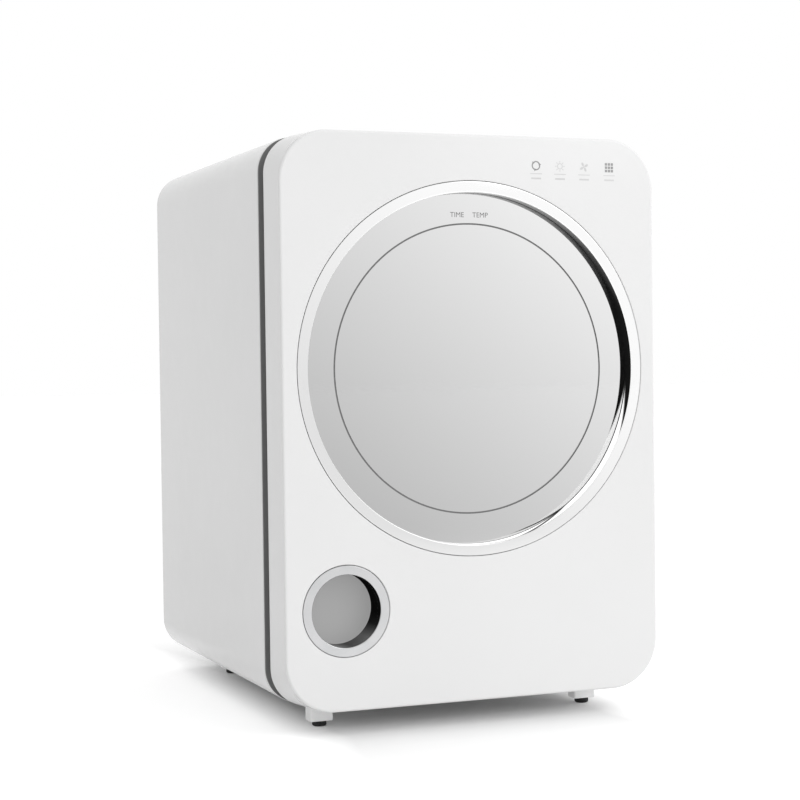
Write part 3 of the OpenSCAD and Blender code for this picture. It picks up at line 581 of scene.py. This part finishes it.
# door shell: a shallow tray with round corners, holes for the window and the finger pull
doorShell = {
    "cornerRadius": 38 * mm, "backRadius": 29 * mm, "cornerSteps": 28,
    "faceBack": 0.1 * mm,  # the face lies this far behind the bright rings
    "frontSoftening": 1.9 * mm, "rearSoftening": 0.7 * mm,
    "wall": 3 * mm,
    "holeGap": 0.35 * mm, "holeSoftening": 0.6 * mm,
}


def tightenBack(obj, d, back):  # the corners are drawn out to a smaller radius at the back edge
    reach = d["cornerRadius"] + near
    shrink = d["backRadius"] / d["cornerRadius"]
    for x in (doorLow.x, doorHigh.x):
        for z in (doorLow.z, doorHigh.z):
            editWhere(obj, "VERT", lambda v: abs(v.co.y - back) < near and abs(v.co.x - x) < reach
                      and abs(v.co.z - z) < reach)
            bpy.ops.transform.resize(value=(shrink, 1, shrink), center_override=(x, back, z))
            closeEdit()


def makeDoorShell(d):
    front = faceY + d["faceBack"]
    back = doorHigh.y
    obj = addBox((doorLow.x, front, doorLow.z), doorHigh)
    roundEdges(obj, isLong, d["cornerRadius"], d["cornerSteps"])
    tightenBack(obj, d, back)
    roundEdges(obj, lambda e: liesAt(e, front), d["frontSoftening"], 5)
    editWhere(obj, "FACE", lambda f: f.normal.y > 0.99 and abs(f.calc_center_median().y - back) < near)
    bpy.ops.mesh.inset(thickness=d["wall"], use_even_offset=True)
    bpy.ops.mesh.extrude_region_move(
        TRANSFORM_OT_translate={"value": (0, front + d["wall"] - back, 0)})
    closeEdit()
    roundEdges(obj, lambda e: liesAt(e, back) and e.calc_face_angle(0) > 1, d["rearSoftening"], 3)
    for middle, radius in ((ringMiddle, ringRadius), (pullMiddle, pullRadius)):
        hole = radius + d["holeGap"]
        cutAway(obj, addDrum(hole, front - 5 * mm, front + 2 * d["wall"], middle, 224))
        roundEdges(obj, lambda e: liesAt(e, front) and onCircle(e, hole, middle), d["holeSoftening"], 3)
    smoothOut(obj)
    return dress(obj, "doorShell", "door_panel", whiteGloss)


makeDoorShell(doorShell)
print("door shell made")


# sleeve: the round-cornered tube of the cabinet
sleeve = {
    "cornerRadius": 27 * mm, "cornerSteps": 24,
    "wall": 2.5 * mm,
    "frontSoftening": 0.5 * mm, "rearSoftening": 1.0 * mm,
}


def roundBar(low, high, radius, steps):  # a block with its long edges rounded
    obj = addBox(low, high)
    roundEdges(obj, isLong, radius, steps)
    return obj


def makeSleeve(s):
    radius, steps = s["cornerRadius"], s["cornerSteps"]
    inset = Vector((s["wall"], -10 * mm, s["wall"]))  # the hollow runs out past both ends
    obj = roundBar(shellLow, shellHigh, radius, steps)
    cutAway(obj, roundBar(shellLow + inset, shellHigh - inset, radius - s["wall"], steps))
    for y, width in ((shellLow.y, s["frontSoftening"]), (shellHigh.y, s["rearSoftening"])):
        roundEdges(obj, lambda e: liesAt(e, y) and e.calc_face_angle(0) > 1, width, 3)
    smoothOut(obj)
    return dress(obj, "sleeve", "outer_shell", whiteGloss)


makeSleeve(sleeve)
print("sleeve made")


# bright rings: a flat profile with soft corners, spun about the ring's own axis
windowRing = {"face": 8.2 * mm, "outerSoftening": 0.7 * mm, "innerSoftening": 0.9 * mm, "steps": 224}
pullRing = {"face": 6.8 * mm, "outerSoftening": 0.6 * mm, "innerSoftening": 0.8 * mm, "steps": 128}


def spinRing(r, low, high, middle):
    outer = (high.x - low.x) / 2
    inner = outer - r["face"]
    clearSelection()
    bpy.ops.mesh.primitive_plane_add(
        size=1, location=(middle.x + (inner + outer) / 2, (low.y + high.y) / 2, middle.z))
    obj = bpy.context.object
    obj.scale = (outer - inner, high.y - low.y, 1)
    settle(obj)
    for reach, width in ((outer, r["outerSoftening"]), (inner, r["innerSoftening"])):
        corner = Vector((middle.x + reach, low.y, middle.z))
        editWhere(obj, "VERT", lambda v: (v.co - corner).length < near)
        bpy.ops.mesh.bevel(offset=width, segments=6, profile=0.5, affect="VERTICES")
        closeEdit()
    editWhere(obj, "FACE", lambda f: True)
    bpy.ops.mesh.delete(type="ONLY_FACE")
    bpy.ops.mesh.select_all(action="SELECT")
    bpy.ops.mesh.spin(steps=r["steps"], angle=2 * math.pi, center=middle, axis=(0, 1, 0))
    bpy.ops.mesh.select_all(action="SELECT")
    bpy.ops.mesh.remove_doubles(threshold=near)
    bpy.ops.mesh.normals_make_consistent(inside=False)
    closeEdit()
    smoothOut(obj, 40)
    return obj


brightRing = dress(spinRing(windowRing, ringLow, ringHigh, ringMiddle), "windowRing", "window_ring",
                   chrome, makeRingWall(ringWallLook))
gripRing = dress(spinRing(pullRing, pullLow, pullHigh, pullMiddle), "pullRing", "handle_ring",
                 pullChrome, cupWall)


def paintBore(obj, middle, radius):  # the ring's inner wall takes its second finish
    paintWhere(obj, 1, lambda f: math.hypot(f.center.x - middle.x, f.center.z - middle.z) < radius + near)


paintBore(brightRing, ringMiddle, ringRadius - windowRing["face"])
paintBore(gripRing, pullMiddle, pullRadius - pullRing["face"])
print("bright rings spun")


# finger pull: a cup with a bright wall and a grey floor
pullCup = {
    "flange": 2 * mm, "lip": 3 * mm, "wall": 3.8 * mm, "floor": 2.5 * mm,
    "floorSoftening": 0.6 * mm, "sides": 128,
}


def makePullCup(c):
    front, back = cupLow.y, cupHigh.y
    outer = (cupHigh.x - cupLow.x) / 2
    mouth = outer - c["lip"] - c["wall"]
    floorY = back - c["floor"]
    obj = addDrum(outer, front, front + c["flange"], pullMiddle, c["sides"])
    editWhere(obj, "FACE", lambda f: f.normal.y > 0.99)
    bpy.ops.mesh.inset(thickness=c["lip"])
    bpy.ops.mesh.extrude_region_move(
        TRANSFORM_OT_translate={"value": (0, back - front - c["flange"], 0)})
    closeEdit()
    editWhere(obj, "FACE", lambda f: f.normal.y < -0.99)
    bpy.ops.mesh.inset(thickness=c["lip"] + c["wall"])
    bpy.ops.mesh.extrude_region_move(TRANSFORM_OT_translate={"value": (0, floorY - front, 0)})
    closeEdit()
    roundEdges(obj, lambda e: liesAt(e, floorY) and onCircle(e, mouth, pullMiddle), c["floorSoftening"], 3)
    smoothOut(obj)
    dress(obj, "pullCup", "handle_cup", cupGrey, cupWall)

    def onWall(face):
        reach = math.hypot(face.center.x - pullMiddle.x, face.center.z - pullMiddle.z)
        return reach < mouth + near and abs(face.normal.y) < 0.5 and face.center.y < floorY

    paintWhere(obj, 1, onWall)


makePullCup(pullCup)
print("finger pull made")


# feet: blocks with soft edges, one for each corner
footBlock = {"edgeSoftening": 1.4 * mm, "lowerSoftening": 0.8 * mm}


def makeFoot(f, node, name):
    low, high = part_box(node)
    obj = addBox(low, high)
    roundEdges(obj, lambda e: abs(e.verts[0].co.z - e.verts[1].co.z) > near, f["edgeSoftening"], 4)
    roundEdges(obj, lambda e: all(abs(v.co.z - low.z) < near for v in e.verts), f["lowerSoftening"], 3)
    smoothOut(obj)
    return dress(obj, name, node, footGrey)


for end in ("front", "rear"):
    for side in ("left", "right"):
        makeFoot(footBlock, f"foot_{end}_{side}", f"foot{end.title()}{side.title()}")
print("feet made")


# printed marks for the touch keys, thin plates on the door's face
touchMarks = {
    "drop": 21.7 * mm, "places": (51.4 * mm, 71.3 * mm, 91.5 * mm, 112.7 * mm),
    "thickness": 0.05 * mm,
    # two bars under each mark: drop, width and height
    "caption": ((6.0 * mm, 9.8 * mm, 0.6 * mm), (9.5 * mm, 8.2 * mm, 1.2 * mm)),
}


def flatPlate(width, height, x=0.0, y=0.0, turn=0.0):
    clearSelection()
    bpy.ops.mesh.primitive_plane_add(size=1, location=(x, y, 0), rotation=(0, 0, turn))
    bpy.context.object.scale = (width, height, 1)
    return settle(bpy.context.object)


def flatDisc(radius, sides=32, x=0.0, y=0.0, turn=0.0, stretch=1.0):
    clearSelection()
    bpy.ops.mesh.primitive_circle_add(
        vertices=sides, radius=radius, fill_type="NGON", location=(x, y, 0), rotation=(0, 0, turn))
    bpy.context.object.scale = (1, stretch, 1)
    return settle(bpy.context.object)


def flatRing(radius, width, sides=48):
    obj = flatDisc(radius, sides)
    editWhere(obj, "FACE", lambda f: True)
    bpy.ops.mesh.inset(thickness=width)
    bpy.ops.mesh.delete(type="FACE")
    closeEdit()
    return obj


def markCycle():  # a broken ring with arrow heads
    radius, width, gaps, head = 3.5 * mm, 0.9 * mm, 3, 1.3 * mm
    obj = flatRing(radius, width, 60)
    step = 2 * math.pi / gaps

    def inGap(face):
        middle = face.calc_center_median()
        return math.atan2(middle.y, middle.x) % step < 0.2 * step

    editWhere(obj, "FACE", inGap)
    bpy.ops.mesh.delete(type="FACE")
    closeEdit()
    heads = []
    for i in range(gaps):
        angle = i * step + 0.12 * step
        reach = radius - width / 2
        x, y = reach * math.cos(angle), reach * math.sin(angle)
        heads.append(flatDisc(head, 3, x, y, angle - math.pi / 2))
    return [obj, *heads]


def markSun():  # a ring with short rays
    radius, line, reach, length = 2.3 * mm, 0.6 * mm, 3.4 * mm, 1.2 * mm
    rays = [flatPlate(length, line, reach * math.cos(a), reach * math.sin(a), a)
            for a in (i * math.pi / 4 for i in range(8))]
    return [flatRing(radius, line, 40), *rays]


def markFan():  # a hub with four blades
    hub, blade, reach, slim, tilt = 0.55 * mm, 1.6 * mm, 2.2 * mm, 0.55, 0.5
    blades = [flatDisc(blade, 24, reach * math.cos(a), reach * math.sin(a), a, slim)
              for a in (i * math.pi / 2 + tilt for i in range(4))]
    return [flatDisc(hub, 16), *blades]


def markTiles():  # three rows of three tiles
    pitch, tile = 2.5 * mm, 1.95 * mm
    return [flatPlate(tile, tile, i * pitch, j * pitch) for i in (-1, 0, 1) for j in (-1, 0, 1)]


def joinPieces(pieces):
    makeActive(pieces[0])
    for obj in pieces:
        obj.select_set(True)
    bpy.ops.object.join()
    return bpy.context.object


def standOn(obj, x, y, z, thickness):  # turns a flat mark to the front and gives it its thickness
    obj.rotation_euler = (math.radians(90), 0, 0)
    obj.location = (x, y, z)
    settle(obj)
    plate = obj.modifiers.new("plate", "SOLIDIFY")
    plate.thickness = thickness
    plate.offset = 1
    bpy.ops.object.modifier_apply(modifier=plate.name)
    return obj


def makeTouchMarks(t):
    onFace = faceY + doorShell["faceBack"]
    height = doorHigh.z - t["drop"]
    kinds = (("cycleMark", markCycle, printDark), ("sunMark", markSun, printPale),
             ("fanMark", markFan, printPale), ("tileMark", markTiles, printDark))
    for (name, make, finish), x in zip(kinds, t["places"]):
        mark = standOn(joinPieces(make()), x, onFace, height, t["thickness"])
        trim(mark, name, "door", "foot_grey", finish)
        lines = [flatPlate(width, tall, 0, -drop) for drop, width, tall in t["caption"]]
        caption = standOn(joinPieces(lines), x, onFace, height, t["thickness"])
        trim(caption, name + "Caption", "door", "foot_grey", printPale)


makeTouchMarks(touchMarks)


# plain words over the readout, on the mirror
readoutWords = {"TIME": -9.3 * mm, "TEMP": 9.3 * mm}
readoutSize = {"rise": 113.7 * mm, "letter": 5.3 * mm, "thickness": 0.03 * mm}


def makeWord(word, x, r):
    clearSelection()
    bpy.ops.object.text_add(location=(0, 0, 0))
    obj = bpy.context.object
    obj.data.body = word
    obj.data.size = r["letter"]
    obj.data.align_x = "CENTER"
    obj.data.align_y = "CENTER"
    bpy.ops.object.convert(target="MESH")
    obj = bpy.context.object
    standOn(obj, x, mirrorLow.y, ringMiddle.z + r["rise"], r["thickness"])
    return trim(obj, f"word{word.title()}", "door", "foot_grey", letterGrey)


for word, x in readoutWords.items():
    makeWord(word, x, readoutSize)
print("printed marks made")


# soft-edged copies of the plainer solids: the solid's own faces, merged and bevelled by so many millimetres
softEdges = {
    "front_frame": 0.5, "rear_cover": 0.5, "filter_cover": 0.5, "power_inlet": 0.5, "door_liner": 0.6,
    "door_reflector": 0.2, "door_seal": 0.8, "fan_housing": 0.8, "drip_tray": 0.4, "rail_left": 0.3,
    "rail_right": 0.3, "upper_lamp_socket_left": 1.2, "upper_lamp_socket_right": 1.2,
    "rear_lamp_socket_left": 1.2, "rear_lamp_socket_right": 1.2, "lamp_ballast": 1.2, "air_filter": 0.8,
    "magnet_upper": 0.4, "magnet_lower": 0.4, "catch_plate_upper": 0.25, "catch_plate_lower": 0.25,
    "body_leaf_upper": 0.25, "body_leaf_lower": 0.25, "door_leaf_upper": 0.25, "door_leaf_lower": 0.25,
    "rear_screw_upper_left": 0.3, "rear_screw_upper_right": 0.3, "rear_screw_lower_left": 0.3,
    "rear_screw_lower_right": 0.3, "fan_guard": 0.35, "fan_impeller": 0.3, "fan_motor": 0.5,
    "chamber_liner": 0.3, "chamber_back": 0.3, "power_board": 0.2,
}


def camelName(node):
    first, *rest = node.split("_")
    return first + "".join(word.title() for word in rest)


def softCopy(node, width):
    obj = bpy.data.objects.new(camelName(node), nodes[node].data.copy())
    bpy.context.scene.collection.objects.link(obj)
    makeActive(obj)
    bpy.ops.mesh.customdata_custom_splitnormals_clear()
    editWhere(obj, "EDGE", lambda e: True)
    bpy.ops.mesh.remove_doubles(threshold=0.2 * near)
    bpy.ops.mesh.dissolve_limited(angle_limit=math.radians(0.5))
    bpy.ops.mesh.select_all(action="DESELECT")
    bpy.ops.mesh.edges_select_sharp(sharpness=math.radians(40))
    bpy.ops.mesh.bevel(offset=width, segments=2, profile=0.5, affect="EDGES", clamp_overlap=True)
    closeEdit()
    smoothOut(obj)
    return dress(obj, camelName(node), node, finishOf[slotOf[node]])


for node, width in softEdges.items():
    softCopy(node, width * mm)
print("soft-edged copies made:", len(softEdges))


# ultraviolet tubes: thin glass with a metal cap at each end
lampTube = {
    "wall": 0.9 * mm, "sides": 64,
    "capLength": 11 * mm, "capRim": 0.25 * mm, "capSoftening": 0.6 * mm,
}


def barAlongX(radius, x0, x1, low, high, sides, ends):
    middle = (low + high) / 2
    clearSelection()
    bpy.ops.mesh.primitive_cylinder_add(
        vertices=sides, radius=radius, depth=x1 - x0, end_fill_type=ends,
        location=((x0 + x1) / 2, middle.y, middle.z), rotation=(0, math.radians(90), 0))
    return settle(bpy.context.object)


def makeLamp(t, node):
    low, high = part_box(node)
    radius = (high.z - low.z) / 2
    glass = barAlongX(radius, low.x, high.x, low, high, t["sides"], "NOTHING")
    wall = glass.modifiers.new("wall", "SOLIDIFY")
    wall.thickness = t["wall"]
    wall.offset = -1
    bpy.ops.object.modifier_apply(modifier=wall.name)
    smoothOut(glass)
    dress(glass, camelName(node), node, finishOf["lamp_glass"])
    for side, name in ((-1, "Left"), (1, "Right")):
        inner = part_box(node.replace("tube", "socket_" + name.lower()))
        face = inner[1].x if side < 0 else inner[0].x
        x0, x1 = sorted((face, face - side * t["capLength"]))
        cap = barAlongX(radius + t["capRim"], x0, x1, low, high, t["sides"], "NGON")
        roundEdges(cap, lambda e: e.calc_face_angle(0) > 1, t["capSoftening"], 3)
        smoothOut(cap)
        trim(cap, camelName(node) + "Cap" + name, bodyOf[node], "hinge_steel", endCap)


for node in ("upper_lamp_tube", "rear_lamp_tube"):
    makeLamp(lampTube, node)
print("tubes made")


# studio: even light from all round that leans to the front right, one soft lamp, pale floor
studio = {
    "level": 0.80,
    "lean": (0.46, -0.28, 0.24),  # brighter towards +X, -Y and +Z
    "floorSize": 30.0, "floorTone": 238,
    # painted light on the floor, shaping the cabinet's shadow and keeping the rest white: metres from the
    # middle, strength
    "glowBeside": ((0.1, 0.03), (0.14, 0.46), (0.25, 0.38), (0.6, 0.2)),
    "glowFade": ((0.2, 1.0), (0.5, 0.4)),
    "glowAhead": (
        (0.11, 0.03), (0.145, 0.09), (0.18, 0.05), (0.23, 0.17),
        (0.32, 0.28), (0.5, 0.28), (0.8, 0.2),
    ),
    "lampPlace": (0.75, -1.05, 0.85), "lampSize": 0.7, "lampPower": 1.9,
}


def seenRays(tree):  # 1 where a ray from the camera looks straight at it, in a mirror or through glass
    path = tree.nodes.new("ShaderNodeLightPath").outputs
    seen = mathOn(tree, "MAXIMUM", path["Is Camera Ray"], path["Is Glossy Ray"])
    return mathOn(tree, "MAXIMUM", seen, path["Is Transmission Ray"])


def makeWorld(s):
    world = bpy.data.worlds.new("studio")
    bpy.context.scene.world = world
    world.use_nodes = True
    tree = world.node_tree
    tree.nodes.clear()
    output = tree.nodes.new("ShaderNodeOutputWorld")
    direction = tree.nodes.new("ShaderNodeTexCoord").outputs["Generated"]
    lean = tree.nodes.new("ShaderNodeVectorMath")
    lean.operation = "DOT_PRODUCT"
    lean.inputs[1].default_value = s["lean"]
    tree.links.new(direction, lean.inputs[0])
    soft = tree.nodes.new("ShaderNodeBackground")
    tree.links.new(mathOn(tree, "ADD", lean.outputs["Value"], s["level"]), soft.inputs["Strength"])
    plain = tree.nodes.new("ShaderNodeBackground")
    for background in (soft, plain):
        background.inputs["Color"].default_value = (1, 1, 1, 1)
    seen = seenRays(tree)
    mix = tree.nodes.new("ShaderNodeMixShader")
    tree.links.new(seen, mix.inputs[0])
    tree.links.new(soft.outputs[0], mix.inputs[1])
    tree.links.new(plain.outputs[0], mix.inputs[2])
    tree.links.new(mix.outputs[0], output.inputs["Surface"])


def glowBy(tree, place, stops):  # painted light: keeps the paper white away from the cabinet's own shadow
    stops = [(distance, (strength, strength, strength, 1)) for distance, strength in stops]
    return rampTo(tree, mathOn(tree, "ABSOLUTE", place, 0.0), *stops)


def makeFloor(s):  # white paper with painted light round the cabinet's shadow
    clearSelection()
    bpy.ops.mesh.primitive_plane_add(size=s["floorSize"], location=(0, 0, 0))
    floor = bpy.context.object
    floor.name = "floor"
    material, tree, shader = newFinish("floorPaper", Roughness=1.0, Specular_IOR_Level=0.0)
    shader.inputs["Base Color"].default_value = grey(s["floorTone"])
    shader.inputs["Emission Color"].default_value = (1, 1, 1, 1)
    split = tree.nodes.new("ShaderNodeSeparateXYZ")
    tree.links.new(objectCoords(tree), split.inputs["Vector"])
    beside = mathOn(tree, "MULTIPLY", glowBy(tree, split.outputs["X"], s["glowBeside"]),
                    glowBy(tree, split.outputs["Y"], s["glowFade"]))
    # painted light: the glow trims the cabinet's shadow on the floor
    glow = mathOn(tree, "MAXIMUM", beside, glowBy(tree, split.outputs["Y"], s["glowAhead"]))
    tree.links.new(mathOn(tree, "MULTIPLY", glow, seenRays(tree)), shader.inputs["Emission Strength"])
    floor.data.materials.append(material)


def makeLight(s):
    data = bpy.data.lights.new("softLamp", "AREA")
    data.size = s["lampSize"]
    data.energy = s["lampPower"]
    lamp = bpy.data.objects.new("softLamp", data)
    bpy.context.scene.collection.objects.link(lamp)
    lamp.location = s["lampPlace"]
    aim = Vector((0, 0, shellHigh.z / 2)) - lamp.location
    lamp.rotation_mode = "QUATERNION"
    lamp.rotation_quaternion = aim.to_track_quat("-Z", "Y")


makeWorld(studio)
makeFloor(studio)
makeLight(studio)
print("studio lit")

clearSelection()
